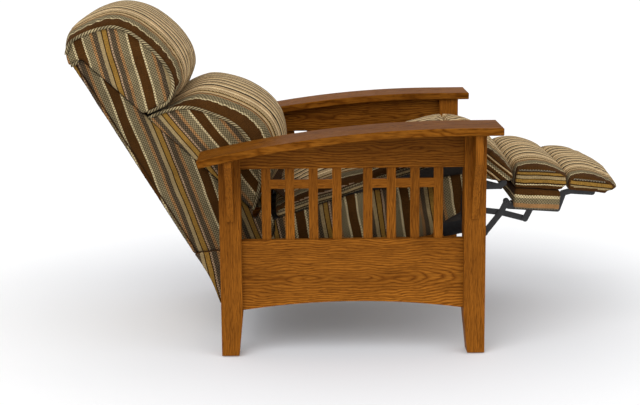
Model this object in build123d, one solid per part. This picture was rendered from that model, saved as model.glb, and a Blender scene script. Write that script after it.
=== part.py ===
from build123d import *
from math import atan2, cos, degrees, hypot, radians, sin, tan
import os

# A reclining armchair with a wooden slatted frame, shown reclined with its footrest out.
# Millimetres. +X is the front of the chair, +Y the sitter's left, +Z up.
# Outlines are (x, z) pairs seen from the sitter's right side.

# Wooden side frames
frame_depth = 700
frame_width = 746
post_side = 57
post_foot_width = 46
post_taper_height = 110
arm_height = 620
arm_thickness = 20
arm_overhang_width = 90
arm_inner_overhang = 12
arm_front_overhang = 32
arm_rear_overhang = 46
arm_level_length = 112
arm_drop = 76
arm_edge_bevel = 2
rail_recess = 16
rail_thickness = 22
upper_rail_height = 96
lower_rail_top = 313
lower_rail_bottom = 124
lower_rail_arch = 21
slat_width = 24
slat_thickness = 10
slat_end_gap = 54.5
slat_group_gap = 57
slats_in_group = 4
crossbar_height = 24
crossbar_drop = 30
corbel_width = 19
corbel_height = 232
corbel_reach = 78
corbel_toe = 4
glide_diameter = 30
glide_height = 3
edge_bevel = 1.5
stretcher_thickness = 22
stretcher_bottom = 148
stretcher_top = 204
rear_stretcher_x = 62
front_stretcher_x = 490
bolt_head_diameter = 14
bolt_head_height = 4
bolt_diameter = 8
bolt_length = 30

# Clearances
pivot_clearance = 0.4
layer_gap = 1
soft_gap = 0.5
running_gap = 4

# Steel mechanism, as layers of plate counted inwards from the seat's side rails
plate_thickness = 4
side_plate_inset = 36
pin_radius = 4
bar_width = 16
tube_radius = 9
tube_bore_radius = 7
tube_end = 3
ear_radius = 14

# Seat, in its upright position before it is tilted back
tilt_x = 330
tilt_z = 255
seat_tilt_angle = 10
deck_slope = 8
deck_x = 412
deck_z = 422
seat_rail_rear = 150
seat_rail_front = 655
seat_rail_bottom = 290
seat_rail_thickness = 24
cross_rail_thickness = 22
cross_rail_height = 90
seat_front_lean = 33
web_width = 50
web_thickness = 2
web_count = 5
web_cross_count = 4
panel_gap = 1
panel_thickness = 16
panel_bottom = 267
panel_top = 416
panel_rear = 104
back_hub_radius = 60
panel_front = 682
panel_toe_rise = 45
panel_toe_length = 112
cushion_arm_gap = 12
seat_cushion_rear = 172
seat_cushion_front = 690
seat_cushion_side_height = 20
seat_crown = 46
roll_reach = 122
roll_height = 112
roll_crown = 30
hinge_x = 101
hinge_z = 379
hinge_ear_radius = 16

# Back, drawn upright about its hinge and then laid back
back_angle = 31
back_recline_range = 7
back_behind_hinge = 173
back_panel_thickness = 10
back_edge_gap = 4
back_side_thickness = 27
head_overlap_height = 221
back_low_rear = 16
back_seat_depth = 24
back_seat_height = 35
back_top_depth = 29.4
back_rail_height = 70
back_rail_thickness = 22
lumbar_height = 356
lumbar_depth = 93
lumbar_crown = 80
head_width = 203
head_height = 268
head_crown = 48
head_overhang = 10
head_tip_rise = 12
tail_length = 153
tail_thickness = 8
tail_swing = 14
tail_side_thickness = 8
tail_side_reach_share = 0.55

# Footrest linkage, in the seat's upright position
lift_x = 725
lift_z = 361
lift_reach = 43
lift_fall = 79
elbow_back = 6
elbow_fall = 64
hook_reach = 50
hook_fall = 4
hook_toe = 13
hook_rise = 7
lobe_length = 86
lobe_slope = 18
lobe_drop = 28
steer_back = 52
steer_fall = 46.7
toe_reach = 62
toe_fall = 29
rise_reach = 20
rise_height = 27
footrest_fold = 70
footrest_slope = 14
board_start = 15
board_length = 126
board_below_pivot = 2
board_thickness = 45
board_edge_round = 5
footrest_side_gap = 20
foot_pad_height = 50
foot_pad_length = 139
foot_pad_crown = 26
strap_height = 17
strap_flange = 28
flipper_x = 153
flipper_z = 30
flipper_fold = 90
flipper_board_start = 14
flipper_board_length = 104
flipper_board_rise = 15
flipper_board_thickness = 10
flipper_pad_length = 124
flipper_pad_height = 26
flipper_crown = 20
flipper_gap = 7

# Places worked out from the sizes above
half_width = frame_width / 2
rail_outer = half_width - rail_recess
rail_inner = rail_outer - rail_thickness
rail_middle = rail_outer - rail_thickness / 2
arm_outer = half_width + arm_overhang_width
arm_inner = half_width - post_side - arm_inner_overhang
arm_front = frame_depth + arm_front_overhang
arm_bow_start = arm_front - arm_level_length
arm_bow_length = arm_bow_start + arm_rear_overhang
arm_under = arm_height - arm_thickness
upper_rail_bottom = arm_under - upper_rail_height
crossbar_bottom = upper_rail_bottom - crossbar_drop - crossbar_height
slat_gap = ((frame_depth - 2 * (post_side + slat_end_gap) - slat_group_gap - 2 * slats_in_group * slat_width)
            / (2 * slats_in_group - 2))
cushion_half_width = arm_inner - cushion_arm_gap
back_half_width = cushion_half_width - back_edge_gap
footrest_half_width = cushion_half_width - footrest_side_gap
side_plate_outer = cushion_half_width - side_plate_inset
back_height = back_seat_height + lumbar_height + head_overlap_height
bow_radius = (arm_bow_length**2 + arm_drop**2) / (2 * arm_drop)
bow_centre_z = arm_under - bow_radius

layer_pitch = plate_thickness + layer_gap
side_plate_layer = (side_plate_outer - plate_thickness, side_plate_outer)
steer_layer = (side_plate_layer[0] - layer_pitch, side_plate_layer[1] - layer_pitch)
cross_layer = (steer_layer[0] - layer_pitch, steer_layer[1] - layer_pitch)
lift_layer = (cross_layer[0] - layer_pitch, cross_layer[1] - layer_pitch)
strap_layer = (lift_layer[0] - layer_pitch, lift_layer[1] - layer_pitch)
flipper_layer = (strap_layer[0] - layer_pitch, strap_layer[1] - layer_pitch)

elbow = (lift_x - elbow_back, lift_z - elbow_fall)
crossing = (lift_x + lift_reach, lift_z - lift_fall)
steer_pivot = (lift_x - steer_back, lift_z - steer_fall)
steer_end = (crossing[0] - steer_back, crossing[1] - steer_fall)
toe = (crossing[0] + toe_reach, crossing[1] - toe_fall)
rear_foot_pivot = (crossing[0] + rise_reach, crossing[1] + rise_height)
front_foot_pivot = (toe[0] + rise_reach, toe[1] + rise_height)

seat_back_axis = Axis((tilt_x, 0, tilt_z), (0, 1, 0))


def turned(x, z, angle, centre_x=0, centre_z=0):
    """A point turned about +Y: a positive angle takes the front down."""
    a = radians(angle)
    dx, dz = x - centre_x, z - centre_z
    return centre_x + dx * cos(a) + dz * sin(a), centre_z - dx * sin(a) + dz * cos(a)


hinge_rest = turned(hinge_x, hinge_z, -seat_tilt_angle, tilt_x, tilt_z)


def deck_height(x):
    """Height of the seat deck, which climbs towards the front."""
    return deck_z + (x - deck_x) * tan(radians(deck_slope))


def side_plane(y):
    """A drawing plane across the chair: its x is X and its y is Z."""
    return Plane(origin=(0, y, 0), x_dir=(1, 0, 0), z_dir=(0, -1, 0))


def slab(face, y_low, y_high):
    """A flat face of (x, z) thickened between two places across the chair."""
    return extrude(side_plane(y_high) * face, amount=y_high - y_low)


def outline(points):
    return make_face(Polyline(*points, close=True))


def mirrored(shape):
    return mirror(shape, Plane.XZ)


def both(shape):
    """The pair of pieces on the two sides of the chair, as separate solids."""
    return Compound([*shape.solids(), *mirrored(shape).solids()])


def group(shapes):
    return Compound([solid for shape in shapes for solid in shape.solids()])


def disc(x, z, radius):
    return Pos(x, z) * Circle(radius)


def bar_face(points, width, holes=(), hole_radius=pin_radius + pivot_clearance):
    """A flat bar with round ends along a chain of points, with a hole at each named point."""
    face = disc(*points[0], width / 2)
    for (x1, z1), (x2, z2) in zip(points, points[1:]):
        span = hypot(x2 - x1, z2 - z1)
        middle = Pos((x1 + x2) / 2, (z1 + z2) / 2) * Rot(0, 0, degrees(atan2(z2 - z1, x2 - x1)))
        face += middle * Rectangle(span, width)
        face += disc(x2, z2, width / 2)
    for x, z in holes:
        face -= disc(x, z, hole_radius)
    return face


def pin(place, y_low, y_high, radius=pin_radius):
    return slab(disc(*place, radius), y_low, y_high)


def tilted(shape):
    """The seat and all that it carries, laid back about the tilt pivot."""
    return shape.rotate(seat_back_axis, -seat_tilt_angle)


def laid_back(shape):
    """The back, drawn upright about its hinge, laid back and set on the hinge."""
    leaned = shape.rotate(Axis.Y, -back_angle)
    return Pos(hinge_rest[0], 0, hinge_rest[1]) * leaned


def footrest_place(shape):
    """A footrest piece, drawn level about its rear pivot, set on the linkage."""
    sloped = shape.rotate(Axis.Y, footrest_slope)
    return tilted(Pos(rear_foot_pivot[0], 0, rear_foot_pivot[1]) * sloped)


# Cushions: a bowed side outline, lofted across the width with a crown that swells in the middle.
# Each step is (place across as a share of the half width, swelling as a share of the crown).
crown_step_shares = [(-1, 0), (-0.96, 0.28), (-0.88, 0.52), (-0.74, 0.73), (-0.52, 0.89), (-0.2, 0.99),
                     (0.2, 0.99), (0.52, 0.89), (0.74, 0.73), (0.88, 0.52), (0.96, 0.28), (1, 0)]
bow_step_shares = [0.25, 0.5, 0.75]


def bowed_outline(points, bulge_shares):
    """A closed outline whose sides bow outwards by a share of their length, in few flats."""
    corners = []
    for (x1, z1), (x2, z2), bulge in zip(points, points[1:] + points[:1], bulge_shares):
        corners.append((x1, z1))
        dx, dz = x2 - x1, z2 - z1
        for share in bow_step_shares if bulge else []:
            out = 4 * bulge * share * (1 - share)
            corners.append((x1 + dx * share + dz * out, z1 + dz * share - dx * out))
    return outline(corners)


def cushion(points, swells, bulge_shares, crown, width):
    """A crowned cushion. swells says how far each corner moves, as shares of the crown."""
    sections = []
    for across, share in crown_step_shares:
        moved = [(x + sx * crown * share, z + sz * crown * share) for (x, z), (sx, sz) in zip(points, swells)]
        sections.append(side_plane(across * width) * bowed_outline(moved, bulge_shares))
    return loft(sections, ruled=True)


# Wooden side frames

def under_arm(y_low, y_high):
    """The space below the arm's underside, for pieces that are cut to meet it."""
    rear_drop_z = bow_centre_z + (bow_radius**2 - arm_bow_length**2) ** 0.5
    line = [
        Line((-arm_rear_overhang, 0), (arm_front, 0)),
        Line((arm_front, 0), (arm_front, arm_under)),
        Line((arm_front, arm_under), (arm_bow_start, arm_under)),
        RadiusArc((arm_bow_start, arm_under), (-arm_rear_overhang, rear_drop_z), -bow_radius),
        Line((-arm_rear_overhang, rear_drop_z), (-arm_rear_overhang, 0)),
    ]
    return slab(make_face(line), y_low, y_high)


def bow_arm():
    """A wide flat arm, level at the front and bowed down towards the back."""
    sweep_angle = degrees(atan2(arm_bow_length, bow_radius - arm_drop))
    top_radius = bow_radius + arm_thickness
    bow_end = [turned(0, r, -sweep_angle) for r in (bow_radius, top_radius)]
    under_end, top_end = [(arm_bow_start + x, bow_centre_z + z) for x, z in bow_end]
    face = make_face([
        Line((arm_bow_start, arm_under), (arm_front, arm_under)),
        Line((arm_front, arm_under), (arm_front, arm_height)),
        Line((arm_front, arm_height), (arm_bow_start, arm_height)),
        RadiusArc((arm_bow_start, arm_height), top_end, -top_radius),
        Line(top_end, under_end),
        RadiusArc(under_end, (arm_bow_start, arm_under), bow_radius),
    ])
    arm = slab(face, -arm_outer, -arm_inner)
    sharp_edges = [e for e in arm.edges() if abs((e @ 0.5).X - arm_bow_start) > arm_thickness]
    return chamfer(sharp_edges, arm_edge_bevel)


def post(front):
    """A square post whose inner side tapers to the foot."""
    far = frame_depth if front else 0
    inward = -1 if front else 1
    points = [(far, glide_height), (far + inward * post_foot_width, glide_height),
              (far + inward * post_side, post_taper_height), (far + inward * post_side, arm_height),
              (far, arm_height)]
    body = slab(outline(points), -half_width, post_side - half_width)
    shape = body & under_arm(-half_width, post_side - half_width)
    return chamfer(shape.edges().filter_by(Axis.Z), edge_bevel)


def upper_rail():
    points = [(post_side, upper_rail_bottom), (frame_depth - post_side, upper_rail_bottom),
              (frame_depth - post_side, arm_height), (post_side, arm_height)]
    return slab(outline(points), -rail_outer, -rail_inner) & under_arm(-rail_outer, -rail_inner)


def lower_rail():
    """The deep lower rail, with its underside arched."""
    rear, front = post_side, frame_depth - post_side
    face = make_face([
        ThreePointArc((rear, lower_rail_bottom), (frame_depth / 2, lower_rail_bottom + lower_rail_arch),
                      (front, lower_rail_bottom)),
        Line((front, lower_rail_bottom), (front, lower_rail_top)),
        Line((front, lower_rail_top), (rear, lower_rail_top)),
        Line((rear, lower_rail_top), (rear, lower_rail_bottom)),
    ])
    return slab(face, -rail_outer, -rail_inner)


def slat_starts():
    """Rear edge of each slat: two groups about the middle of the side."""
    pitch = slat_width + slat_gap
    group_length = slats_in_group * slat_width + (slats_in_group - 1) * slat_gap
    first = frame_depth / 2 - slat_group_gap / 2 - group_length
    second = frame_depth / 2 + slat_group_gap / 2
    return [[start + i * pitch for i in range(slats_in_group)] for start in (first, second)]


def lattice_block(x_low, x_high, z_low, z_high):
    points = [(x_low, z_low), (x_high, z_low), (x_high, z_high), (x_low, z_high)]
    return slab(outline(points), -rail_middle - slat_thickness / 2, slat_thickness / 2 - rail_middle)


def slats():
    return group([lattice_block(x, x + slat_width, lower_rail_top, upper_rail_bottom)
                  for starts in slat_starts() for x in starts])


def crossbars():
    """Short bars that tie the slats of each group near the top."""
    top = crossbar_bottom + crossbar_height
    return group([lattice_block(x + slat_width, x + slat_width + slat_gap, crossbar_bottom, top)
                  for starts in slat_starts() for x in starts[:-1]])


def corbel(middle_x):
    """A curved bracket on the outer face of a post, under the arm."""
    top = arm_height
    foot = top - arm_thickness - corbel_height
    face = make_face([
        Line((-half_width, foot), (-half_width, top)),
        Line((-half_width, top), (-half_width - corbel_reach, top)),
        Line((-half_width - corbel_reach, top), (-half_width - corbel_reach, arm_under - arm_drop)),
        ThreePointArc((-half_width - corbel_reach, arm_under - arm_drop),
                      (-half_width - corbel_reach / 3, foot + corbel_height / 3),
                      (-half_width - corbel_toe, foot)),
        Line((-half_width - corbel_toe, foot), (-half_width, foot)),
    ])
    plane = Plane(origin=(middle_x + corbel_width / 2, 0, 0), x_dir=(0, 1, 0), z_dir=(1, 0, 0))
    block = extrude(plane * face, amount=-corbel_width)
    return block & under_arm(-arm_outer, -half_width)


def corbels():
    return group([corbel(x) for x in (post_side / 2, frame_depth - post_side / 2)])


def glides():
    """Round feet let under the posts."""
    places = [post_foot_width / 2, frame_depth - post_foot_width / 2]
    y = half_width - post_side / 2
    return group([Pos(x, side * y, glide_height / 2) * Cylinder(glide_diameter / 2, glide_height)
                  for x in places for side in (-1, 1)])


def stretcher(x):
    """A board between the two lower rails, with bolt holes for the steel rails on it."""
    height = stretcher_top - stretcher_bottom
    board = Pos(x + stretcher_thickness / 2, 0, stretcher_bottom + height / 2) * Box(
        stretcher_thickness, 2 * rail_inner, height)
    for side in (-1, 1):
        hole = Pos(x + stretcher_thickness / 2, side * bolt_y, stretcher_top - bolt_length / 2)
        board -= hole * Cylinder(bolt_diameter / 2, bolt_length)
    return board


base_rail_leg = 46
base_rail_height = 32
bolt_y = steer_layer[1] - base_rail_leg / 2
base_rail_rear = rear_stretcher_x
base_rail_front = front_stretcher_x + stretcher_thickness


def base_rail():
    """A steel angle on the stretchers, with an ear for the seat's tilt pivot."""
    low, high = stretcher_top, stretcher_top + base_rail_height
    leg = slab(outline([(base_rail_rear, low), (base_rail_front, low), (base_rail_front, high),
                        (tilt_x + 3 * ear_radius, high), (tilt_x + ear_radius, tilt_z),
                        (tilt_x - ear_radius, tilt_z), (tilt_x - 3 * ear_radius, high),
                        (base_rail_rear, high)]), -steer_layer[1], -steer_layer[0])
    leg += slab(disc(tilt_x, tilt_z, ear_radius), -steer_layer[1], -steer_layer[0])
    leg -= pin((tilt_x, tilt_z), -steer_layer[1], -steer_layer[0])
    flange = slab(outline([(base_rail_rear, low), (base_rail_front, low),
                           (base_rail_front, low + plate_thickness),
                           (base_rail_rear, low + plate_thickness)]),
                  -steer_layer[1], base_rail_leg - steer_layer[1])
    for x in (rear_stretcher_x, front_stretcher_x):
        hole = Pos(x + stretcher_thickness / 2, -bolt_y, low + plate_thickness / 2)
        flange -= hole * Cylinder(bolt_diameter / 2, plate_thickness)
    return leg + flange


def base_bolts():
    """Bolts that hold the steel rails down on the stretchers."""
    bolts = []
    shank_top = stretcher_top + plate_thickness
    length = plate_thickness + bolt_length
    for x in (rear_stretcher_x, front_stretcher_x):
        for side in (-1, 1):
            shank = Pos(0, 0, shank_top - length / 2) * Cylinder(bolt_diameter / 2, length)
            head = Pos(0, 0, shank_top + bolt_head_height / 2) * extrude(
                RegularPolygon(bolt_head_diameter / 2, 6), bolt_head_height / 2, both=True)
            bolts.append(Pos(x + stretcher_thickness / 2, side * bolt_y, 0) * (shank + head))
    return group(bolts)


def tilt_pins():
    return both(pin((tilt_x, tilt_z), -side_plate_layer[1], -steer_layer[0]))


# Seat

def seat_side_rail():
    """A dark side rail of the seat frame, wedge shaped below the sloping deck."""
    front_top = seat_rail_front + seat_front_lean
    points = [(seat_rail_rear, seat_rail_bottom), (seat_rail_front, seat_rail_bottom),
              (front_top, deck_height(front_top)), (seat_rail_rear, deck_height(seat_rail_rear))]
    face = outline(points) - disc(hinge_x, hinge_z, back_hub_radius + layer_gap)
    return slab(face, -side_plate_outer - seat_rail_thickness, -side_plate_outer)


def seat_cross_rail(x_low, x_high):
    """A rail across the seat frame, its top planed to the deck's slope."""
    inner = side_plate_layer[0] - layer_gap
    top_low, top_high = deck_height(x_low) - web_thickness, deck_height(x_high) - web_thickness
    points = [(x_low, top_low - cross_rail_height), (x_high, top_low - cross_rail_height),
              (x_high, top_high), (x_low, top_low)]
    return slab(outline(points), -inner, inner)


cross_rail_front = (seat_rail_front - 2 * cross_rail_thickness, seat_rail_front - cross_rail_thickness)
cross_rail_rear = (seat_rail_rear, seat_rail_rear + cross_rail_thickness)


def seat_rail_ends():
    """Corner blocks that join the cross rails to the side rails over the steel plates."""
    blocks = []
    for x_low, x_high in (cross_rail_front, cross_rail_rear):
        top_low, top_high = deck_height(x_low) - web_thickness, deck_height(x_high) - web_thickness
        block_bottom = top_low - cross_rail_height / 4
        points = [(x_low, block_bottom), (x_high, block_bottom), (x_high, top_high), (x_low, top_low)]
        blocks.append(slab(outline(points), -side_plate_outer, layer_gap - side_plate_layer[0]))
    return blocks


def seat_webbing():
    """Elastic straps from the rear rail to the front rail, with straps woven across them."""
    low, high = cross_rail_rear[0], cross_rail_front[1]
    half_span = side_plate_layer[0] - layer_gap
    pitch = 2 * half_span / web_count
    straps = None
    for i in range(web_count):
        middle = -half_span + (i + 0.5) * pitch
        points = [(low, deck_height(low) - web_thickness), (high, deck_height(high) - web_thickness),
                  (high, deck_height(high)), (low, deck_height(low))]
        strap = slab(outline(points), middle - web_width / 2, middle + web_width / 2)
        straps = strap if straps is None else straps + strap
    for i in range(web_cross_count):
        x = low + (high - low) * (i + 1) / (web_cross_count + 1)
        ends = (x - web_width / 2, x + web_width / 2)
        points = [(ends[0], deck_height(ends[0]) - web_thickness),
                  (ends[1], deck_height(ends[1]) - web_thickness),
                  (ends[1], deck_height(ends[1])), (ends[0], deck_height(ends[0]))]
        straps += slab(outline(points), -half_span, half_span)
    return straps


def seat_side_panel():
    """The upholstered panel that hides the seat frame, cut up at its front toe."""
    inner = side_plate_outer + seat_rail_thickness + panel_gap
    panel_level_start = deck_x + (panel_top + soft_gap - deck_z) / tan(radians(deck_slope))
    toe_x = panel_front - panel_toe_length
    toe_z = panel_bottom + panel_toe_rise
    face = make_face([
        Line((panel_rear, panel_bottom), (toe_x, panel_bottom)),
        ThreePointArc((toe_x, panel_bottom),
                      (toe_x + panel_toe_length * 0.4, panel_bottom + panel_toe_rise * 0.7),
                      (panel_front - panel_toe_length * 0.22, toe_z)),
        Line((panel_front - panel_toe_length * 0.22, toe_z), (panel_front, panel_top)),
        Line((panel_front, panel_top), (panel_level_start, panel_top)),
        Line((panel_level_start, panel_top), (panel_rear, deck_height(panel_rear) - soft_gap)),
        Line((panel_rear, deck_height(panel_rear) - soft_gap), (panel_rear, panel_bottom)),
    ])
    face -= disc(hinge_x, hinge_z, back_hub_radius + layer_gap)
    return slab(face, -inner - panel_thickness, -inner)


def side_plate():
    """The stamped plate that carries the back hinge, the tilt pivot and the footrest pivots."""
    y_low, y_high = -side_plate_layer[1], -side_plate_layer[0]
    lower_z = seat_rail_bottom - ear_radius
    lobe_rear = steer_pivot[0] - lobe_length
    neck_z = deck_height(seat_rail_rear) - 2 * hinge_ear_radius
    web = outline([(hinge_x, hinge_z - hinge_ear_radius), (tilt_x - ear_radius, tilt_z),
                   (tilt_x + ear_radius, tilt_z), (tilt_x + 3 * ear_radius, lower_z),
                   (lobe_rear, lower_z), (lobe_rear + lobe_slope, lower_z - lobe_drop),
                   (steer_pivot[0] - lobe_slope, lower_z - lobe_drop),
                   (steer_pivot[0], steer_pivot[1] - ear_radius), (lift_x, lift_z + ear_radius / 2),
                   (steer_pivot[0], lift_z + ear_radius), (cross_rail_rear[1], neck_z),
                   (hinge_x + 2 * hinge_ear_radius, neck_z), (hinge_x, hinge_z + hinge_ear_radius)])
    face = web + disc(hinge_x, hinge_z, hinge_ear_radius) + disc(tilt_x, tilt_z, ear_radius)
    face += disc(lift_x, lift_z, ear_radius) + disc(*steer_pivot, ear_radius)
    hook = (lift_x + hook_reach, lift_z - hook_fall)
    face += bar_face([(lift_x, lift_z + hook_fall), hook, (hook[0] + hook_toe, hook[1] + hook_rise)], bar_width)
    face -= disc(tilt_x, tilt_z, pin_radius + pivot_clearance)
    face -= disc(lift_x, lift_z, tube_radius + pivot_clearance)
    face -= disc(hinge_x, hinge_z, pin_radius) + disc(*steer_pivot, pin_radius)
    return slab(face, y_low, y_high)


def seat_pivot_pins():
    """Pins fixed in the side plates for the back hinge and the steering bars."""
    hinge = pin((hinge_x, hinge_z), -side_plate_layer[1] - layer_pitch, -side_plate_layer[0])
    steer = pin(steer_pivot, -side_plate_layer[1], -steer_layer[0])
    return both(group([hinge, steer]))


def seat_cushion():
    """The boxed seat cushion, thickest in its middle."""
    rear, front = seat_cushion_rear, seat_cushion_front
    middle = (rear + front) / 2
    height = seat_cushion_side_height
    points = [(rear, deck_height(rear)), (front, deck_height(front)),
              (front, deck_height(front) + height), (middle, deck_height(middle) + height),
              (rear, deck_height(rear) + height)]
    swells = [(0, 0), (0, 0), (0, 0.9), (0, 1.1), (0, 0.6)]
    return cushion(points, swells, [0, 0, 0.03, 0.04, 0.03], seat_crown, cushion_half_width)


def seat_front_roll():
    """The bolster that wraps over the front of the seat towards the footrest."""
    rear = seat_cushion_front + soft_gap
    top = deck_height(rear) + seat_cushion_side_height
    shares = [(0, 0.42), (0.58, 0.11), (0.97, 0), (1, 0.2), (0.56, 0.78), (0, 1)]
    points = [(rear + roll_reach * sx, top - roll_height * (1 - sz)) for sx, sz in shares]
    swells = [(0, 0), (0, -0.1), (0.1, -0.1), (0.2, 0), (0.4, 0.9), (0, 1.38)]
    return cushion(points, swells, [0.02, 0.02, 0.06, 0.05, 0.06, 0], roll_crown, cushion_half_width)


# Back

lean_slope = (back_seat_depth + back_behind_hinge - back_top_depth) / (back_height - back_seat_height)


def back_front(height):
    """How far the front of the back frame stands ahead of the hinge, at a height."""
    return back_seat_depth - (height - back_seat_height) * lean_slope


def back_side():
    """An upholstered side of the back frame, a wedge that narrows upwards."""
    rear = back_panel_thickness - back_behind_hinge
    points = [(rear, back_low_rear), (0, -back_hub_radius), (back_seat_depth, back_seat_height),
              (back_front(back_height), back_height), (rear, back_height)]
    face = outline(points) + disc(0, 0, back_hub_radius)
    reach = 2 * back_hub_radius
    face -= outline([(0, 0), (back_hub_radius, back_seat_height), (reach, reach),
                     (back_front(reach), reach), (back_seat_depth, back_seat_height)])
    return slab(face, -back_half_width, back_side_thickness - back_half_width)


def outside_back():
    """The upholstered panel over the rear of the back."""
    rear = -back_behind_hinge
    points = [(rear, back_low_rear), (rear + back_panel_thickness, back_low_rear),
              (rear + back_panel_thickness, back_height), (rear, back_height)]
    return slab(outline(points), -back_half_width, back_half_width)


def back_rail(bottom):
    """A rail across the back frame, just inside the outside back."""
    rear = back_panel_thickness - back_behind_hinge
    inner = back_half_width - back_side_thickness
    depth = min(back_rail_thickness, back_front(bottom + back_rail_height) - rear)
    points = [(rear, bottom), (rear + depth, bottom),
              (rear + depth, bottom + back_rail_height), (rear, bottom + back_rail_height)]
    return slab(outline(points), -inner, inner)


back_rail_low = back_low_rear
back_rail_high = back_height - back_rail_height


def back_webbing():
    """Upright straps behind the back cushions, from the lower rail to the top rail."""
    face_low = back_panel_thickness - back_behind_hinge + back_rail_thickness
    inner = back_half_width - back_side_thickness
    pitch = 2 * inner / web_count
    points = [(face_low, back_rail_low), (face_low + web_thickness, back_rail_low),
              (face_low + web_thickness, back_rail_high), (face_low, back_rail_high)]
    straps = []
    for i in range(web_count):
        middle = -inner + (i + 0.5) * pitch
        straps.append(slab(outline(points), middle - web_width / 2, middle + web_width / 2))
    return group(straps)


def back_hinge_plate():
    """The plate on the inside of the back's side that turns on the hinge pin."""
    y_high = -side_plate_outer - layer_gap
    y_low = y_high - plate_thickness
    rear = back_panel_thickness - back_behind_hinge + back_rail_thickness + web_thickness
    upper_x = back_front(back_height / 3) - hinge_ear_radius * 1.2
    face = bar_face([(0, 0), (upper_x, back_height / 3)], 2 * hinge_ear_radius, [(0, 0)])
    face += bar_face([(0, 0), (rear + hinge_ear_radius, back_rail_low + back_rail_height / 2)],
                     2 * hinge_ear_radius, [(0, 0)])
    return slab(face - disc(0, 0, pin_radius + pivot_clearance), y_low, y_high)


def lumbar_cushion():
    """The lower back cushion, bulging forwards over the seat."""
    low = back_seat_height + soft_gap
    shares = [(0, 0), (0.69, 0.18), (1, 0.47), (0.9, 0.61), (0.49, 0.78), (0.04, 0.91), (-0.55, 0.972)]
    points = [(back_seat_depth + soft_gap + lumbar_depth * sx, low + lumbar_height * sz) for sx, sz in shares]
    points.append((back_front(low + lumbar_height) + soft_gap, low + lumbar_height))
    swells = [(0, 0), (0.95, -0.1), (1.18, 0), (1.12, 0.08), (1, 0.25), (0.75, 0.35), (0.3, 0.1), (0, 0)]
    bulges = [0.02, 0.06, 0.03, 0.04, 0.04, 0.05, 0.02, 0]
    return cushion(points, swells, bulges, lumbar_crown, cushion_half_width)


def headrest_cushion():
    """The head roll, which sits over the top of the back frame."""
    low = back_seat_height + lumbar_height + running_gap
    over = back_height + soft_gap
    rear = -back_behind_hinge
    front_shares = [(0.16, 1.01), (0.72, 0.92), (0.9, 0.73), (1.03, 0.3), (0.97, 0.12), (0.8, 0.015)]
    corners = [(rear + head_width * sx, low + head_height * sz) for sx, sz in front_shares]
    points = [(back_front(over) + soft_gap, over), (rear - head_overhang, over)] + corners
    tip = low + head_tip_rise
    points.append((back_front(tip) + soft_gap, tip))
    points.reverse()
    swells = [(0, 0), (0, 0.8), (0.35, 1), (0.9, 0.7), (1, 0.1), (0.9, -0.1), (0.4, 0), (0, 0)]
    swells = [(0, 0), (0, 0)] + swells[1:-1] + [(0, 0)]
    swells.reverse()
    bulges = [0.02, 0.04, 0.05, 0.05, 0.06, 0.06, 0.13, 0, 0]
    return cushion(points, swells, bulges, head_crown, cushion_half_width)


def back_tail():
    """The loose flap that carries the outside back down behind the seat, and its two sides."""
    top = back_low_rear
    rear = -back_behind_hinge
    middle = (rear + tail_swing * 0.1, top - tail_length * 0.38)
    foot = (rear - tail_swing, top - tail_length)
    inner_foot = (foot[0] + tail_thickness, foot[1])
    inner_middle = (middle[0] + tail_thickness, middle[1])
    tail_edge = (rear + back_panel_thickness) * (1 - tail_side_reach_share)
    tail_edge_z = top - (top + back_hub_radius) * tail_side_reach_share - layer_gap
    face = make_face([
        ThreePointArc((rear, top), middle, foot),
        Line(foot, inner_foot),
        ThreePointArc(inner_foot, inner_middle, (rear + tail_thickness, top)),
        Line((rear + tail_thickness, top), (rear, top)),
    ])
    flap = slab(face, -back_half_width, back_half_width)
    side = outline([(rear + tail_thickness, top), (tail_edge, tail_edge_z), inner_foot, inner_middle])
    right = slab(side, -back_half_width, tail_side_thickness - back_half_width)
    return flap + right + mirrored(right)


# Footrest linkage: a double parallelogram on each side

def lift_bars():
    """Cranked bars that swing the footrest out, fixed on the cross tube."""
    face = bar_face([(lift_x, lift_z), elbow, crossing, toe], bar_width, [crossing, toe])
    face += disc(lift_x, lift_z, ear_radius)
    face -= disc(lift_x, lift_z, tube_radius)
    return both(slab(face, -lift_layer[1], -lift_layer[0]))


def lift_tube():
    """The tube that ties the two lift bars and turns in the side plates."""
    end = side_plate_outer + tube_end
    wall = disc(lift_x, lift_z, tube_radius) - disc(lift_x, lift_z, tube_bore_radius)
    return slab(wall, -end, end)


def steering_bars():
    """Bars that keep the crossing bars parallel to the seat."""
    face = bar_face([steer_pivot, steer_end], bar_width, [steer_pivot, steer_end])
    return both(slab(face, -steer_layer[1], -steer_layer[0]))


def crossing_bars():
    """Bars that cross the lift bars and carry the rear of the footrest."""
    face = bar_face([steer_end, crossing, rear_foot_pivot], bar_width, [rear_foot_pivot])
    face -= disc(*steer_end, pin_radius) + disc(*crossing, pin_radius)
    return both(slab(face, -cross_layer[1], -cross_layer[0]))


def crossing_pins():
    steer = pin(steer_end, -steer_layer[1], -cross_layer[0])
    cross = pin(crossing, -cross_layer[1], -lift_layer[0])
    return both(group([steer, cross]))


def toe_links():
    """Short links from the ends of the lift bars up to the footrest."""
    face = bar_face([toe, front_foot_pivot], bar_width, [front_foot_pivot])
    face -= disc(*toe, pin_radius)
    return both(slab(face, -cross_layer[1], -cross_layer[0]))


def toe_pins():
    return both(pin(toe, -cross_layer[1], -lift_layer[0]))


# Footrest, drawn level about its rear pivot

front_pivot_local = turned(toe_reach, -toe_fall, -footrest_slope)


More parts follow.
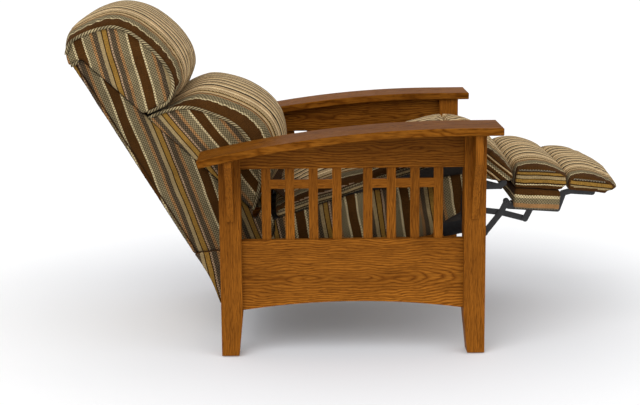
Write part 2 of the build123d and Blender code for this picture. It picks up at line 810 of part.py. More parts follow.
def footrest_bracket():
    """The strap under the board, with the two link pivots and the flipper's pivot."""
    middle = front_pivot_local[1]
    board_end = board_start + board_length
    face = bar_face([(0, 0), (strap_height / 2, middle), front_pivot_local,
                     (board_end, middle), (flipper_x, flipper_z)], strap_height)
    face -= slab_window()
    face -= disc(0, 0, pin_radius) + disc(*front_pivot_local, pin_radius)
    face -= disc(flipper_x, flipper_z, pin_radius)
    strap = slab(face, -strap_layer[1], -strap_layer[0])
    flange_top = -board_below_pivot
    flange = outline([(board_start, flange_top - plate_thickness), (board_end, flange_top - plate_thickness),
                      (board_end, flange_top), (board_start, flange_top)])
    return strap + slab(flange, -strap_layer[0], strap_flange - strap_layer[0])


def slab_window():
    """The board's own space, which the strap is kept out of."""
    end = board_start + board_length
    return outline([(board_start, -board_below_pivot), (end, -board_below_pivot),
                    (end, board_thickness), (board_start, board_thickness)])


def bracket_pins():
    """Pins fixed in the footrest brackets for the links and the flipper."""
    links = [pin(place, -cross_layer[1], -strap_layer[0]) for place in ((0, 0), front_pivot_local)]
    flip = pin((flipper_x, flipper_z), -strap_layer[1], -flipper_layer[0])
    return both(group(links + [flip]))


def footrest_board():
    """The covered board that the main foot pad sits on."""
    end = board_start + board_length
    top = board_thickness - board_below_pivot
    face = outline([(board_start, -board_below_pivot), (end, -board_below_pivot), (end, top), (board_start, top)])
    board = slab(face, -footrest_half_width, footrest_half_width)
    return fillet(board.edges().filter_by(Axis.Y), board_edge_round)


def footrest_pad():
    """The main foot pad, highest towards the seat."""
    bottom = board_thickness - board_below_pivot + soft_gap
    start = board_start
    shares = [(0, 0), (0.88, 0), (1, 0.3), (0.975, 0.76), (0.45, 1.12), (0.02, 0.97)]
    points = [(start + foot_pad_length * sx, bottom + foot_pad_height * sz) for sx, sz in shares]
    swells = [(0, 0), (0, 0), (0.02, 0.2), (0.05, 0.6), (0, 1), (-0.05, 0.8)]
    return cushion(points, swells, [0, 0.03, 0.06, 0.06, 0.06, 0.04], foot_pad_crown, footrest_half_width)


def flipper_outline_start():
    return flipper_x + flipper_gap, flipper_z + flipper_board_rise


def flipper_plates():
    """Arms that carry the flipper on the bracket's outer pivot."""
    x, z = flipper_outline_start()
    under = z - bar_width / 2
    face = bar_face([(flipper_x, flipper_z), (x + flipper_board_start, under),
                     (x + flipper_board_length * 0.7, under)], bar_width, [(flipper_x, flipper_z)])
    arm = slab(face, -flipper_layer[1], -flipper_layer[0])
    flange = outline([(x + flipper_board_start, z - plate_thickness), (x + flipper_board_length * 0.7, z - plate_thickness),
                      (x + flipper_board_length * 0.7, z), (x + flipper_board_start, z)])
    return both(arm + slab(flange, -flipper_layer[1], strap_flange - flipper_layer[1]))


def flipper_board():
    x, z = flipper_outline_start()
    face = outline([(x, z), (x + flipper_board_length, z),
                    (x + flipper_board_length, z + flipper_board_thickness), (x, z + flipper_board_thickness)])
    return slab(face, -footrest_half_width + running_gap, footrest_half_width - running_gap)


def flipper_pad():
    """The outer pad, rounded and drooping towards the toes."""
    x, z = flipper_outline_start()
    low = z + flipper_board_thickness + soft_gap
    shares = [(0, 0), (0.9, 0), (1, 0.35), (0.76, 0.86), (0.36, 1.03), (0.03, 0.78)]
    points = [(x + flipper_pad_length * sx, low + flipper_pad_height * sz) for sx, sz in shares]
    swells = [(0, 0), (0.5, 0), (1.5, 0.1), (0.9, 0.7), (0.2, 1), (0, 0.7)]
    return cushion(points, swells, [0, 0.05, 0.08, 0.05, 0.06, 0.05], flipper_crown, footrest_half_width)


def build_nodes():
    """Every piece under its name, in the chair's frame."""
    nodes = {}
    right_pieces = {
        "front_post": post(True), "rear_post": post(False), "bow_arm": bow_arm(),
        "upper_rail": upper_rail(), "lower_rail": lower_rail(), "slats": slats(),
        "crossbars": crossbars(), "corbels": corbels(), "base_rail": base_rail(),
    }
    for name, piece in right_pieces.items():
        nodes[name + "_right"] = piece
        nodes[name + "_left"] = mirrored(piece)
    nodes["post_glides"] = glides()
    nodes["front_stretcher"] = stretcher(front_stretcher_x)
    nodes["rear_stretcher"] = stretcher(rear_stretcher_x)
    nodes["base_bolts"] = base_bolts()
    nodes["tilt_pins"] = tilt_pins()

    seat_rail = group([sum_shapes([seat_side_rail(), *seat_rail_ends()])])
    seat_sides = {"seat_side_rail": seat_rail, "seat_side_panel": seat_side_panel(), "side_plate": side_plate()}
    for name, piece in seat_sides.items():
        nodes[name + "_right"] = tilted(piece)
        nodes[name + "_left"] = mirrored(nodes[name + "_right"])
    seat_middle = {
        "seat_front_rail": seat_cross_rail(*cross_rail_front), "seat_rear_rail": seat_cross_rail(*cross_rail_rear),
        "seat_webbing": seat_webbing(), "seat_cushion": seat_cushion(), "seat_front_roll": seat_front_roll(),
        "seat_pivot_pins": seat_pivot_pins(), "lift_bars": lift_bars(), "lift_tube": lift_tube(),
        "steering_bars": steering_bars(), "crossing_bars": crossing_bars(), "crossing_pins": crossing_pins(),
        "toe_links": toe_links(), "toe_pins": toe_pins(),
    }
    for name, piece in seat_middle.items():
        nodes[name] = tilted(piece)

    nodes["back_side_right"] = laid_back(back_side())
    nodes["back_side_left"] = mirrored(nodes["back_side_right"])
    back_middle = {
        "back_top_rail": back_rail(back_rail_high), "back_bottom_rail": back_rail(back_rail_low),
        "back_webbing": back_webbing(), "outside_back": outside_back(), "back_tail": back_tail(),
        "lumbar_cushion": lumbar_cushion(), "headrest_cushion": headrest_cushion(),
        "back_hinge_plates": both(back_hinge_plate()),
    }
    for name, piece in back_middle.items():
        nodes[name] = laid_back(piece)

    footrest = {
        "footrest_brackets": both(footrest_bracket()), "bracket_pins": bracket_pins(),
        "footrest_board": footrest_board(), "footrest_pad": footrest_pad(),
        "flipper_plates": flipper_plates(), "flipper_board": flipper_board(), "flipper_pad": flipper_pad(),
    }
    for name, piece in footrest.items():
        nodes[name] = footrest_place(piece)
    return nodes


def sum_shapes(shapes):
    total = shapes[0]
    for shape in shapes[1:]:
        total += shape
    return total


def centred(nodes):
    """Move the origin to the middle of the whole chair's footprint, on the floor."""
    box = Compound([solid for piece in nodes.values() for solid in piece.solids()]).bounding_box()
    shift = Vector(-(box.min.X + box.max.X) / 2, -(box.min.Y + box.max.Y) / 2, -box.min.Z)
    return {name: Pos(shift) * piece for name, piece in nodes.items()}, shift


nodes, origin_shift = centred(build_nodes())

os.makedirs("parts", exist_ok=True)
for name, piece in nodes.items():
    export_step(piece, "parts/" + name + ".step")
print(len(nodes), "nodes, origin shift", origin_shift)
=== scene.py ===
import bpy
import bmesh
from math import atan2, cos, exp, pi, radians, sin
from mathutils import Matrix, Vector, noise
from mathutils.kdtree import KDTree

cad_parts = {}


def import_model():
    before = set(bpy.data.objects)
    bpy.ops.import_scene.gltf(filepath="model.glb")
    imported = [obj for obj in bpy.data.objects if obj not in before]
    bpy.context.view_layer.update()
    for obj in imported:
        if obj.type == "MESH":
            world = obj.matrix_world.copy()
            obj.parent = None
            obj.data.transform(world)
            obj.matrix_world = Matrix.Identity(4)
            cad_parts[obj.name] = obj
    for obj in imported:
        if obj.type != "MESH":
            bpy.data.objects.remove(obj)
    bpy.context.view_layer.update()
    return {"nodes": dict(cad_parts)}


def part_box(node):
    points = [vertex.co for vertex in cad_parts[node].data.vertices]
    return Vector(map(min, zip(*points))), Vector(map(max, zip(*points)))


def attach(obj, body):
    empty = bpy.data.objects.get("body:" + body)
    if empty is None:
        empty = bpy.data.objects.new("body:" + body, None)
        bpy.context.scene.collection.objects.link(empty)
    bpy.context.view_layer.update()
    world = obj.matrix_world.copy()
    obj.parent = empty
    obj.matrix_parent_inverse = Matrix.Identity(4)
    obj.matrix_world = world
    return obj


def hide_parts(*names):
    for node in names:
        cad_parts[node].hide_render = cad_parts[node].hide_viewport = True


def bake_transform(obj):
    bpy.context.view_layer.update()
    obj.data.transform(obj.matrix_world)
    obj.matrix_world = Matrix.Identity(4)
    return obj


# Looks of a reclining mission armchair: stained oak, striped chenille and black steel.
# Metres, in the same frame as the solids.

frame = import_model()
nodes = frame["nodes"]

MM = 0.001
side_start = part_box("rear_post_right")[0].x


# Node helpers

def new_material(name):
    material = bpy.data.materials.new(name)
    material.use_nodes = True
    tree = material.node_tree
    shader = tree.nodes["Principled BSDF"]
    return material, tree, shader


def add(tree, kind, inputs=None, **settings):
    """Adds a node. inputs maps a socket's name or number to a value or another node's socket."""
    node = tree.nodes.new(kind)
    for key, value in settings.items():
        setattr(node, key, value)
    for key, value in (inputs or {}).items():
        if isinstance(value, bpy.types.NodeSocket):
            tree.links.new(value, node.inputs[key])
        else:
            node.inputs[key].default_value = value
    return node


def math_node(tree, operation, a, b=0.0, c=0.0):
    return add(tree, "ShaderNodeMath", {0: a, 1: b, 2: c}, operation=operation).outputs[0]


def vector_node(tree, operation, a, b=(0, 0, 0), output="Vector"):
    return add(tree, "ShaderNodeVectorMath", {0: a, 1: b}, operation=operation).outputs[output]


def noise_node(tree, vector, scale, detail=2.0, roughness=0.5):
    inputs = {"Vector": vector, "Scale": scale, "Detail": detail, "Roughness": roughness}
    return add(tree, "ShaderNodeTexNoise", inputs).outputs["Fac"]


def mapped(tree, vector, location=(0, 0, 0), rotation=(0, 0, 0), scale=(1, 1, 1)):
    inputs = {"Vector": vector, "Location": location, "Rotation": rotation, "Scale": scale}
    return add(tree, "ShaderNodeMapping", inputs).outputs[0]


def object_point(tree):
    return add(tree, "ShaderNodeTexCoord").outputs["Object"]


def ramp(tree, value, stops, interpolation="LINEAR"):
    """A colour ramp. stops is a list of (place from 0 to 1, colour)."""
    node = add(tree, "ShaderNodeValToRGB", {"Fac": value})
    node.color_ramp.interpolation = interpolation
    elements = node.color_ramp.elements
    while len(elements) > 1:
        elements.remove(elements[-1])
    elements[0].position = stops[0][0]
    elements[0].color = (*stops[0][1], 1)
    for place, colour in stops[1:]:
        element = elements.new(place)
        element.color = (*colour, 1)
    return node.outputs["Color"]


def grey(value):
    return (value, value, value)


def mix(tree, factor, a, b, blend="MIX"):
    node = add(tree, "ShaderNodeMix", data_type="RGBA", blend_type=blend)
    for key, value in ((0, factor), (6, a), (7, b)):
        if isinstance(value, bpy.types.NodeSocket):
            tree.links.new(value, node.inputs[key])
        elif key == 0:
            node.inputs[key].default_value = value
        else:
            node.inputs[key].default_value = (*value, 1)
    return node.outputs[2]


def set_bump(tree, shader, height, distance, strength=1.0):
    inputs = {"Height": height, "Distance": distance, "Strength": strength}
    bump = add(tree, "ShaderNodeBump", inputs)
    tree.links.new(bump.outputs[0], shader.inputs["Normal"])


# Oak

wood_dark = (0.055, 0.014, 0.0012)
wood_mid = (0.20, 0.062, 0.0055)
wood_light = (0.37, 0.135, 0.015)
wood_plain = (0.26, 0.085, 0.008)
ring_width = 6.5 * MM
straight_ring_width = 4 * MM
slat_cell_start = side_start + 93 * MM
slat_cell_width = 62 * MM
slat_cell_jump = (370 * MM, 13 * MM)

# Marks of each kind in a metre along the board, across it and through it
wander_marks = (3.4, 5, 5)
ripple_marks = (11, 22, 22)
fibre_marks = (13, 260, 260)
pore_marks = (48, 620, 620)
cloud_marks = (2.4, 12, 12)

# How far the rings are pushed about, and where the pith lies
wander_reach = 130 * MM
straight_wander_reach = 50 * MM
ripple_reach = 22 * MM
fibre_push_share = 0.7
pith_depth = 35 * MM
pith_depth_step = 10 * MM
pith_rise_step = 6 * MM
straight_pith_distance = 140 * MM

wood_specular = 0.03
arm_specular = 0.008
pore_depth = 0.35 * MM

# How each board's length and broad face turn onto X and Y
board_turns = {"XY": (0, 0, 0), "XZ": (pi / 2, 0, 0), "ZY": (0, pi / 2, 0), "YX": (0, 0, -pi / 2)}


def middle_of(node):
    low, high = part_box(node)
    return (Vector(low) + Vector(high)) / 2


def board_offset(seed):
    """A part of the noise of its own for each board."""
    return (seed * 0.83 % 2.0, seed * 0.37 % 0.5, seed * 0.29 % 0.4)


def jumped_by_cell(tree, board, point):
    """Moves the grain on from one slat or crossbar to the next, since they share a node."""
    x = add(tree, "ShaderNodeSeparateXYZ", {0: point}).outputs["X"]
    cell = math_node(tree, "SUBTRACT", x, slat_cell_start)
    cell = math_node(tree, "FLOOR", math_node(tree, "DIVIDE", cell, slat_cell_width))
    jumps = [math_node(tree, "MULTIPLY", cell, jump) for jump in slat_cell_jump]
    jump = add(tree, "ShaderNodeCombineXYZ", {"X": jumps[0], "Y": jumps[1]}).outputs[0]
    return vector_node(tree, "ADD", board, jump)


def ring_phase(tree, board, seed, wander, ripple, fibre, straight):
    """How many growth rings lie between the pith and a place in the board."""
    parts = add(tree, "ShaderNodeSeparateXYZ", {0: board}).outputs
    reach = straight_wander_reach if straight else wander_reach
    offset = -pith_depth - pith_depth_step * (seed % 3)
    pushed = math_node(tree, "MULTIPLY_ADD", wander, reach, offset)
    depth = math_node(tree, "ADD", pushed, parts["Y"])
    offset = pith_rise_step * (seed % 5 - 2) - ripple_reach / 2 + (straight_pith_distance if straight else 0)
    pushed = math_node(tree, "MULTIPLY_ADD", ripple, ripple_reach, offset)
    height = math_node(tree, "ADD", pushed, parts["Z"])
    radial = add(tree, "ShaderNodeCombineXYZ", {"Y": depth, "Z": height}).outputs[0]
    radius = vector_node(tree, "LENGTH", radial, output="Value")
    rings = math_node(tree, "DIVIDE", radius, straight_ring_width if straight else ring_width)
    return math_node(tree, "ADD", rings, math_node(tree, "MULTIPLY", fibre, fibre_push_share))


def oak(node, axes, seed, tone, figure, straight=False, cells=False):
    """Stained oak. axes names the directions of the board's length and its broad face.

    figure is the strength of the growth rings. A straight board has its pith far off to one side.
    """
    material, tree, shader = new_material("oak_" + node)
    point = object_point(tree)
    board = mapped(tree, vector_node(tree, "SUBTRACT", point, middle_of(node)), rotation=board_turns[axes])
    if cells:
        board = jumped_by_cell(tree, board, point)
    moved = mapped(tree, board, location=board_offset(seed))

    def marks(scale, detail, roughness):
        return noise_node(tree, mapped(tree, moved, scale=scale), 1.0, detail, roughness)

    wander = marks(wander_marks, 2.0, 0.45)
    ripple = marks(ripple_marks, 2.0, 0.5)
    fibre = marks(fibre_marks, 3.0, 0.6)
    pores = marks(pore_marks, 1.0, 0.5)
    cloud = marks(cloud_marks, 2.0, 0.5)
    ring = math_node(tree, "FRACT", ring_phase(tree, board, seed, wander, ripple, fibre, straight))
    colour = ramp(tree, ring, [(0.0, wood_dark), (0.16, wood_mid), (0.38, wood_light), (0.72, wood_light),
                               (0.9, wood_mid), (1.0, wood_dark)])
    colour = mix(tree, figure, wood_plain, colour)
    colour = mix(tree, ramp(tree, cloud, [(0.3, grey(0.55)), (0.7, grey(0.1))]), colour, wood_mid)
    colour = mix(tree, ramp(tree, fibre, [(0.42, grey(0)), (0.72, grey(0.55))]), colour, wood_dark)
    colour = mix(tree, ramp(tree, pores, [(0.56, grey(0)), (0.7, grey(0.6))]), colour, wood_dark)
    shade = ramp(tree, cloud, [(0.25, grey(0.8 * tone)), (0.75, grey(1.15 * tone))])
    colour = mix(tree, 1.0, colour, shade, "MULTIPLY")
    tree.links.new(colour, shader.inputs["Base Color"])
    tree.links.new(ramp(tree, fibre, [(0.3, grey(0.4)), (0.8, grey(0.56))]), shader.inputs["Roughness"])
    shader.inputs["Specular IOR Level"].default_value = arm_specular if "arm" in node else wood_specular
    set_bump(tree, shader, pores, pore_depth, 0.3)
    return material


# Name, axes, tone, figure, and whether the grain is straight
wood_boards = [("front_post", "ZY", 1.0, 0.5, True), ("rear_post", "ZY", 0.95, 0.5, True),
               ("bow_arm", "XZ", 0.76, 0.7, False), ("upper_rail", "XY", 0.8, 0.85, False),
               ("lower_rail", "XY", 1.0, 0.8, False), ("slats", "ZY", 0.95, 0.5, True),
               ("crossbars", "XY", 0.95, 0.5, True), ("corbels", "ZY", 0.95, 0.5, True)]


def paint(name, material):
    data = nodes[name].data
    data.materials.clear()
    data.materials.append(material)


def paint_wood():
    for i, (name, axes, tone, figure, straight) in enumerate(wood_boards):
        for j, side in enumerate(("right", "left")):
            node = f"{name}_{side}"
            cells = name in ("slats", "crossbars")
            paint(node, oak(node, axes, 1 + 2 * i + j, tone, figure, straight, cells))
    for i, name in enumerate(("front_stretcher", "rear_stretcher")):
        paint(name, oak(name, "YX", 21 + i, 0.7, 0.7))


timber_dark = (0.012, 0.008, 0.005)
timber_light = (0.03, 0.02, 0.012)
strap_light = (0.05, 0.042, 0.035)
strap_dark = (0.02, 0.017, 0.015)
glide_dark = (0.06, 0.04, 0.03)
glide_light = (0.10, 0.07, 0.05)
enamel_dark = (0.012, 0.012, 0.013)
enamel_light = (0.03, 0.03, 0.032)
zinc_dark = (0.42, 0.42, 0.43)
zinc_light = (0.6, 0.6, 0.6)

timber_grain_depth = 0.4 * MM
peel_depth = 0.08 * MM
strap_weave_depth = 0.4 * MM
glide_grain_depth = 0.1 * MM


def plain_wood(name):
    """Frame timber inside the upholstery, coloured near black."""
    material, tree, shader = new_material(name)
    point = object_point(tree)
    grain = noise_node(tree, mapped(tree, point, scale=(18, 60, 60)), 4.0, 4.0, 0.6)
    colour = ramp(tree, grain, [(0.3, timber_dark), (0.7, timber_light)])
    tree.links.new(colour, shader.inputs["Base Color"])
    shader.inputs["Roughness"].default_value = 0.75
    set_bump(tree, shader, grain, timber_grain_depth, 0.4)
    return material


def steel(name, dark, light, metallic, low, high):
    """Enamelled or plated steel with slight orange peel and rubbed patches. low and high are roughnesses."""
    material, tree, shader = new_material(name)
    point = object_point(tree)
    patches = noise_node(tree, point, 38.0, 4.0, 0.6)
    peel = noise_node(tree, point, 900.0, 1.0, 0.5)
    tree.links.new(ramp(tree, patches, [(0.35, dark), (0.75, light)]), shader.inputs["Base Color"])
    tree.links.new(ramp(tree, patches, [(0.3, grey(low)), (0.8, grey(high))]), shader.inputs["Roughness"])
    shader.inputs["Metallic"].default_value = metallic
    set_bump(tree, shader, peel, peel_depth, 0.4)
    return material


def webbing():
    material, tree, shader = new_material("webbing")
    point = object_point(tree)
    weave = add(tree, "ShaderNodeTexChecker", {"Vector": point, "Scale": 420.0,
                                               "Color1": (*strap_light, 1), "Color2": (*strap_dark, 1)})
    tree.links.new(weave.outputs["Color"], shader.inputs["Base Color"])
    shader.inputs["Roughness"].default_value = 0.9
    set_bump(tree, shader, weave.outputs["Fac"], strap_weave_depth, 0.6)
    return material


def glide_plastic():
    material, tree, shader = new_material("glide_plastic")
    point = object_point(tree)
    grain = noise_node(tree, point, 700.0, 2.0, 0.5)
    tree.links.new(ramp(tree, grain, [(0.3, glide_dark), (0.7, glide_light)]), shader.inputs["Base Color"])
    shader.inputs["Roughness"].default_value = 0.6
    set_bump(tree, shader, grain, glide_grain_depth, 0.5)
    return material


# Striped chenille. Colours are linear. A stripe is (width in millimetres, colour, beaded).

brown = (0.060, 0.024, 0.005)
dark_line = (0.026, 0.011, 0.003)
cream = (0.50, 0.40, 0.22)
dotted_grey = (0.185, 0.145, 0.078)
peach = (0.28, 0.145, 0.056)
slate = (0.080, 0.056, 0.032)
ash = (0.14, 0.115, 0.075)
gold = (0.24, 0.13, 0.026)
pink_cream = (0.30, 0.20, 0.12)
pale_beige = (0.29, 0.21, 0.10)
beige = (0.43, 0.30, 0.15)
light_beige = (0.64, 0.48, 0.265)

bright_stripes = [(24, brown, 0), (5, cream, 1), (18, dotted_grey, 1), (7, peach, 1), (12, slate, 1),
                  (9, pale_beige, 0), (3, dark_line, 0), (11, gold, 0), (3, dark_line, 0),
                  (5, pink_cream, 1), (13, slate, 1), (8, peach, 1), (18, dotted_grey, 1), (6, cream, 1)]
border_stripes = [(23, brown, 0), (4, cream, 1), (20, dotted_grey, 1), (4, peach, 0), (4, brown, 0),
                  (9, beige, 0), (3, gold, 0), (4, dark_line, 0), (14, beige, 1), (3, peach, 0)]
calm_stripes = [(11, dark_line, 0), (13, light_beige, 0), (4, peach, 0), (11, beige, 0), (11, dark_line, 0),
                (13, light_beige, 0), (5, gold, 0), (10, beige, 0)]
boxing_stripes = [(5, dotted_grey, 1), (3, dark_line, 0), (6, pale_beige, 0), (4, slate, 0),
                  (4, dotted_grey, 1), (3, dark_line, 0), (5, pink_cream, 0), (4, slate, 0)]
pad_end_stripes = [(7, brown, 0), (3, cream, 1), (4, dark_line, 0), (8, gold, 0), (2, dark_line, 0),
                   (8, pale_beige, 0), (3, dark_line, 0), (6, gold, 0), (3, dark_line, 0),
                   (4, ash, 1), (24, brown, 0)]
flipper_end_stripes = [(10, gold, 0), (2, dark_line, 0), (7, pale_beige, 0), (3, dark_line, 0),
                       (9, gold, 0), (3, dark_line, 0), (4, ash, 1), (24, brown, 0)]
board_stripes = [(9, ash, 1), (12, peach, 0), (15, dotted_grey, 1), (8, cream, 1), (30, brown, 0)]
fold_stripes = [(9, brown, 0), (3, cream, 1), (7, dotted_grey, 1), (7, brown, 0), (4, beige, 0),
                (3, dark_line, 0)]
lining_stripes = [(10, brown, 0), (10, dark_line, 0)]

bead_length = 7.5 * MM
bead_width = 1.1 * bead_length
welt_bead_length = 9 * MM
rib_width = 2.6 * MM
stripe_wander = 12 * MM
stripe_fray = 1.2 * MM
weave_depth = 0.6 * MM
rib_height_share = 0.35
weft_height_share = 0.3

cloth_roughness = 0.92
cloth_specular = 0.04
cloth_sheen = 0.02
cloth_sheen_roughness = 0.5


def run_width(stripes):
    return sum(width for width, _, _ in stripes) * MM


def stripe_ramp(tree, value, stripes, channel):
    """Colours (channel 0) or the beaded share (channel 1) of a run of stripes, over a value from 0 to 1."""
    total = sum(width for width, _, _ in stripes)
    stops = []
    place = 0.0
    for width, colour, beaded in stripes:
        stops.append((place / total, colour if channel == 0 else grey(beaded)))
        place += width
    return ramp(tree, value, stops, "CONSTANT")


def waved(tree, value, length):
    return math_node(tree, "SINE", math_node(tree, "MULTIPLY", value, 2 * pi / length))


def matt_cloth(shader):
    shader.inputs["Roughness"].default_value = cloth_roughness
    shader.inputs["Specular IOR Level"].default_value = cloth_specular


def striped(tree, across, stripes, border):
    """The colour of a run of stripes and its beaded share. A border takes the first stretch."""
    turns = math_node(tree, "FRACT", math_node(tree, "DIVIDE", across, run_width(stripes)))
    colour = stripe_ramp(tree, turns, stripes, 0)
    beaded = stripe_ramp(tree, turns, stripes, 1)
    if border:
        past_border = math_node(tree, "GREATER_THAN", across, run_width(border))
        place = math_node(tree, "DIVIDE", across, run_width(border))
        colour = mix(tree, past_border, stripe_ramp(tree, place, border, 0), colour)
        beaded = mix(tree, past_border, stripe_ramp(tree, place, border, 1), beaded)
    return colour, beaded


def bead_shade(tree, along, across):
    """Light and dark beads, from the waves of warp and weft."""
    waves = math_node(tree, "MULTIPLY", waved(tree, along, bead_length), waved(tree, across, bead_width))
    level = math_node(tree, "MULTIPLY_ADD", waves, 0.5, 0.5)
    return ramp(tree, level, [(0.0, grey(0.22)), (0.45, grey(0.75)), (1.0, grey(1.7))])


def chenille(name, stripes, directions, start, border=None, painted_shade_scale=1.0):
    """Striped cloth. directions are the ways across and along the stripes.

    start is a point on the first stripe's edge. With a border, start is the half width instead, and the
    border of stripes runs in from both edges. Below 1, the last argument darkens the cloth with painted
    shade, for parts that sit in shade.
    """
    material, tree, shader = new_material(name)
    point = object_point(tree)
    slow = noise_node(tree, point, 8.0, 2.0, 0.5)
    fine = noise_node(tree, point, 420.0, 2.0, 0.6)
    patch = noise_node(tree, point, 26.0, 3.0, 0.6)
    across, along = (vector_node(tree, "DOT_PRODUCT", point, way, "Value") for way in directions)
    if border:
        across = math_node(tree, "SUBTRACT", start, math_node(tree, "ABSOLUTE", across))
    else:
        across = math_node(tree, "SUBTRACT", across, Vector(start).dot(Vector(directions[0])))
    wander = math_node(tree, "MULTIPLY", math_node(tree, "SUBTRACT", slow, 0.5), stripe_wander)
    fray = math_node(tree, "MULTIPLY", math_node(tree, "SUBTRACT", fine, 0.5), stripe_fray)
    across = math_node(tree, "ADD", math_node(tree, "ADD", across, wander), fray)
    colour, beaded = striped(tree, across, stripes, border)
    beads = mix(tree, 1.0, colour, bead_shade(tree, along, across), "MULTIPLY")
    colour = mix(tree, beaded, colour, beads)
    cross_ribs = math_node(tree, "ABSOLUTE", waved(tree, along, 4 * rib_width))
    # The speckle's ramp is also scaled down by the last argument, as painted shade
    shades = [ramp(tree, cross_ribs, [(0.1, grey(0.86)), (0.6, grey(1.06))]),
              ramp(tree, fine, [(0.3, grey(0.62 * painted_shade_scale)), (0.7, grey(1.32 * painted_shade_scale))]),
              ramp(tree, patch, [(0.3, grey(0.84)), (0.7, grey(1.12))])]
    for shade in shades:
        colour = mix(tree, 1.0, colour, shade, "MULTIPLY")
    tree.links.new(colour, shader.inputs["Base Color"])
    ribs = math_node(tree, "MULTIPLY", waved(tree, across, rib_width), rib_height_share)
    weft = math_node(tree, "MULTIPLY", waved(tree, along, rib_width), weft_height_share)
    height = math_node(tree, "ADD", math_node(tree, "ADD", ribs, weft), fine)
    matt_cloth(shader)
    shader.inputs["Sheen Weight"].default_value = cloth_sheen
    shader.inputs["Sheen Roughness"].default_value = cloth_sheen_roughness
    set_bump(tree, shader, height, weave_depth, 0.55)
    return material


def piping_cloth():
    """Welt cord in the striped cloth, cut on the bias. Its UV runs along the cord in metres."""
    material, tree, shader = new_material("piping_cloth")
    uv = add(tree, "ShaderNodeUVMap", uv_map="cord").outputs[0]
    place = add(tree, "ShaderNodeSeparateXYZ", {0: uv}).outputs
    twisted = math_node(tree, "ADD", place["X"], place["Y"])
    patches = noise_node(tree, mapped(tree, uv, scale=(14, 8, 1)), 1.0, 2.0, 0.5)
    fine = noise_node(tree, object_point(tree), 420.0, 2.0, 0.6)
    beads = math_node(tree, "ABSOLUTE", waved(tree, twisted, 2 * welt_bead_length))
    colour = ramp(tree, beads, [(0.3, dark_line), (0.6, dotted_grey), (0.9, cream)])
    shade = ramp(tree, patches, [(0.36, grey(0.4)), (0.62, grey(1.05))])
    colour = mix(tree, 1.0, colour, shade, "MULTIPLY")
    speckle = ramp(tree, fine, [(0.3, grey(0.7)), (0.7, grey(1.25))])
    tree.links.new(mix(tree, 1.0, colour, speckle, "MULTIPLY"), shader.inputs["Base Color"])
    matt_cloth(shader)
    set_bump(tree, shader, fine, weave_depth, 0.6)
    return material


# Meshes

joining_distance = 0.01 * MM
end_plane_margin = 0.5 * MM
seam_spacing = 6 * MM


def finished(bm, name):
    """Turns a bmesh into an object of the scene, and frees it."""
    data = bpy.data.meshes.new(name)
    bm.to_mesh(data)
    bm.free()
    obj = bpy.data.objects.new(name, data)
    bpy.context.scene.collection.objects.link(obj)
    return obj


def copy_of(node, name):
    """A new object with a node's shape, its doubled points joined."""
    bm = bmesh.new()
    bm.from_mesh(nodes[node].data)
    bmesh.ops.remove_doubles(bm, verts=bm.verts, dist=joining_distance)
    return finished(bm, name)


def seam_points(obj, side):
    """The outline of a cushion's flat end, evenly spaced and in order from its lowest point."""
    bm = bmesh.new()
    bm.from_mesh(obj.data)
    bm.normal_update()
    ends = [f for f in bm.faces if f.normal.y * side > 0.999]
    edge_y = max(side * f.calc_center_median().y for f in ends)
    ends = {f for f in ends if side * f.calc_center_median().y > edge_y - end_plane_margin}
    after = {}
    for face in ends:
        for loop in face.loops:
            others = [f for f in loop.edge.link_faces if f not in ends]
            if others:
                after[loop.vert] = loop.link_loop_next.vert
    first = min(after, key=lambda vert: vert.co.z)
    chain = [first.co.copy()]
    vert = after[first]
    while vert != first and vert in after:
        chain.append(vert.co.copy())
        vert = after[vert]
    bm.free()
    return resampled(chain, seam_spacing)


def resampled(points, spacing):
    """Points along a closed loop at an even spacing."""
    closed = points + [points[0]]
    lengths = [(b - a).length for a, b in zip(closed, closed[1:])]
    total = sum(lengths)
    count = max(8, int(total / spacing))
    result = []
    i = 0
    passed = 0.0
    for k in range(count):
        goal = total * k / count
        while passed + lengths[i] < goal:
            passed += lengths[i]
            i += 1
        share = (goal - passed) / max(lengths[i], 1e-9)
        result.append(closed[i].lerp(closed[i + 1], share))
    return result


def inside(loop, x, z):
    """Whether a place in the side view lies inside a closed outline."""
    within = False
    for a, b in zip(loop, loop[1:] + loop[:1]):
        if (a.z > z) != (b.z > z) and x < a.x + (z - a.z) * (b.x - a.x) / (b.z - a.z):
            within = not within
    return within


def outward_normals(loop):
    """The directions out of a closed outline in the side view, one at each point."""
    turned = sum(a.x * b.z - b.x * a.z for a, b in zip(loop, loop[1:] + loop[:1]))
    normals = []
    for i in range(len(loop)):
        tangent = (loop[(i + 1) % len(loop)] - loop[i - 1]).normalized()
        normals.append(Vector((tangent.z, 0, -tangent.x)) * (1 if turned > 0 else -1))
    return normals


def joined(obj, node):
    """Adds a node's solid to obj, so that the remesh makes one cover over both."""
    bm = bmesh.new()
    bm.from_mesh(obj.data)
    bm.from_mesh(nodes[node].data)
    bm.to_mesh(obj.data)
    bm.free()


def rounded_corners(points, rounds):
    """Pulls each point of a closed loop towards its neighbours, some times over."""
    for _ in range(rounds):
        count = len(points)
        points = [(points[i - 1] + points[i] * 2 + points[(i + 1) % count]) / 4 for i in range(count)]
    return points


# Welt cord. It stands a little proud of the cushion's outline and of its flat end.

cord_radius = 4.2 * MM
cord_proud = 0.8 * MM
cord_outset = 2.2 * MM
cord_sides = 8
cord_unevenness = 0.1
cord_lump_marks = 60


